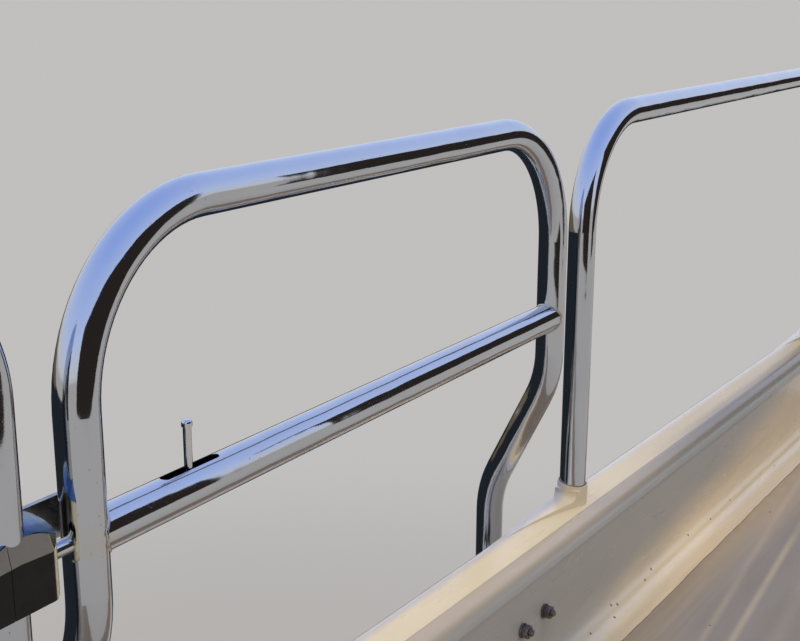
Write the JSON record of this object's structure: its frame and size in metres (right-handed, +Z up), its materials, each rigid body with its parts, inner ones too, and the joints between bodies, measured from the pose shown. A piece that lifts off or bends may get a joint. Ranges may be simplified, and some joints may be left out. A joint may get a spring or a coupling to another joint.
{
  "type": "boarding gate in a boat guard rail",
  "caption": "Fold-down boarding gate with sliding latch in a boat's stainless guard rail, on a length of white bulwark.",
  "frame": {"origin": "on the flat underside of the bulwark length, below the middle of the gate and in the plane of the rails", "axes": "+X along the rail, +Y outboard, +Z up along the posts"},
  "size_m": [2.3978, 0.3518, 0.6445],
  "materials": {
    "white_gelcoat": "weathered white gelcoat over glass fibre",
    "deck_gelcoat": "worn grey white gelcoat",
    "polished_steel": "mirror polished stainless steel",
    "fastener_steel": "dull stainless steel",
    "cast_steel": "polished cast stainless steel",
    "black_plastic": "black acetal",
    "black_rubber": "black rubber"
  },
  "bodies": {
    "bulwark_section": {"bulwark": "white_gelcoat", "deck_strip": "deck_gelcoat", "left_rail": "polished_steel", "right_rail": "polished_steel", "keeper_bolt_side": "cast_steel", "keeper_clamp_side": "cast_steel", "keeper_screws": "fastener_steel", "hinge_bracket_left": "cast_steel", "hinge_bracket_right": "cast_steel", "hinge_liner_left": "black_plastic", "hinge_liner_right": "black_plastic", "bracket_bolts_left": "fastener_steel", "bracket_bolts_right": "fastener_steel", "bracket_nuts_left": "fastener_steel", "bracket_nuts_right": "fastener_steel"},
    "gate": {"gate_hoop": "polished_steel", "gate_middle_rail": "polished_steel", "gate_hinge_tube": "polished_steel", "hinge_tube_cap_left": "polished_steel", "hinge_tube_cap_right": "polished_steel", "stop_lug": "cast_steel", "stop_pad": "black_rubber", "latch_guide_bush": "black_plastic", "latch_end_bush": "black_plastic"},
    "latch": {"latch_bolt": "polished_steel", "latch_pin": "polished_steel"}
  },
  "joints": [
    {"name": "gate_fold", "type": "hinge", "parent": "bulwark_section", "child": "gate", "pos_m": [0, 0.0685, 0.066], "axis": [-1, 0, 0], "range_deg": [0, 180]},
    {"name": "latch_slide", "type": "slide", "parent": "gate", "child": "latch", "axis": [1, 0, 0], "range_m": [-0.023, 0.026]}
  ]
}
